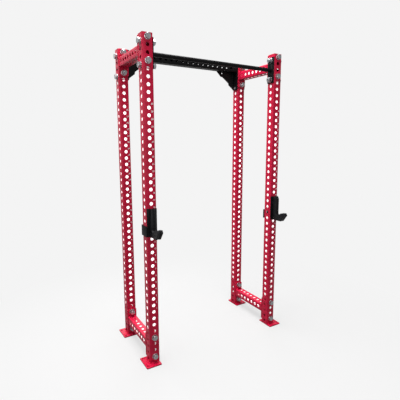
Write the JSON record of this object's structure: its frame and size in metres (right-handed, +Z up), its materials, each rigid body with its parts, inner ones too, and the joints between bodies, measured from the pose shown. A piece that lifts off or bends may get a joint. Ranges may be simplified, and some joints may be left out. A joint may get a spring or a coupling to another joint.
{
  "type": "power cage",
  "caption": "Tall red power cage of four perforated square uprights on foot plates, with bolted side beams, a black round pull-up bar, a black rear beam with gussets and a pair of black J-cups.",
  "frame": {"origin": "on the floor, under the middle of the bounding box of the whole cage with its J-cups on", "axes": "+X to the user's right, -Y to the front, where the J-cups point, and +Z up"},
  "size_m": [1.289, 0.748, 2.335],
  "materials": {
    "frame_paint": "satin",
    "black_paint": "satin",
    "zinc": "satin",
    "liner_plastic": "matte",
    "plug_plastic": "matte",
    "black_steel": "satin"
  },
  "bodies": {
    "cage": {"upright_front_left": "frame_paint", "upright_front_right": "frame_paint", "upright_rear_left": "frame_paint", "upright_rear_right": "frame_paint", "foot_front_left": "frame_paint", "foot_front_right": "frame_paint", "foot_rear_left": "frame_paint", "foot_rear_right": "frame_paint", "top_plug_front_left": "plug_plastic", "top_plug_front_right": "plug_plastic", "top_plug_rear_left": "plug_plastic", "top_plug_rear_right": "plug_plastic", "side_beam_top_left": "frame_paint", "side_beam_top_right": "frame_paint", "side_beam_bottom_left": "frame_paint", "side_beam_bottom_right": "frame_paint", "side_flanges_top_left": "frame_paint", "side_flanges_top_right": "frame_paint", "side_flanges_bottom_left": "frame_paint", "side_flanges_bottom_right": "frame_paint", "pull_up_bar": "black_paint", "bar_flange_left": "black_paint", "bar_flange_right": "black_paint", "rear_beam": "black_paint", "rear_bracket_left": "black_paint", "rear_bracket_right": "black_paint", "side_beam_bolts": "zinc", "side_beam_nuts": "zinc", "side_beam_washers": "zinc", "cross_bolts": "zinc", "cross_nuts": "zinc", "cross_washers": "zinc"},
    "jcup_left": {"jcup_left_plate": "black_paint", "jcup_left_bracket": "black_paint", "jcup_left_pin": "black_paint", "jcup_left_core": "black_paint", "jcup_left_inner_liner": "liner_plastic", "jcup_left_outer_liner": "liner_plastic", "jcup_left_pad": "liner_plastic", "jcup_left_screws": "black_steel", "jcup_left_nuts": "black_steel"},
    "jcup_right": {"jcup_right_plate": "black_paint", "jcup_right_bracket": "black_paint", "jcup_right_pin": "black_paint", "jcup_right_core": "black_paint", "jcup_right_inner_liner": "liner_plastic", "jcup_right_outer_liner": "liner_plastic", "jcup_right_pad": "liner_plastic", "jcup_right_screws": "black_steel", "jcup_right_nuts": "black_steel"}
  },
  "joints": [
    {"name": "jcup_left_pull", "type": "slide", "parent": "cage", "child": "jcup_left", "axis": [-1, 0, 0], "range_m": [0, 0.1]},
    {"name": "jcup_right_pull", "type": "slide", "parent": "cage", "child": "jcup_right", "axis": [1, 0, 0], "range_m": [0, 0.1]}
  ]
}
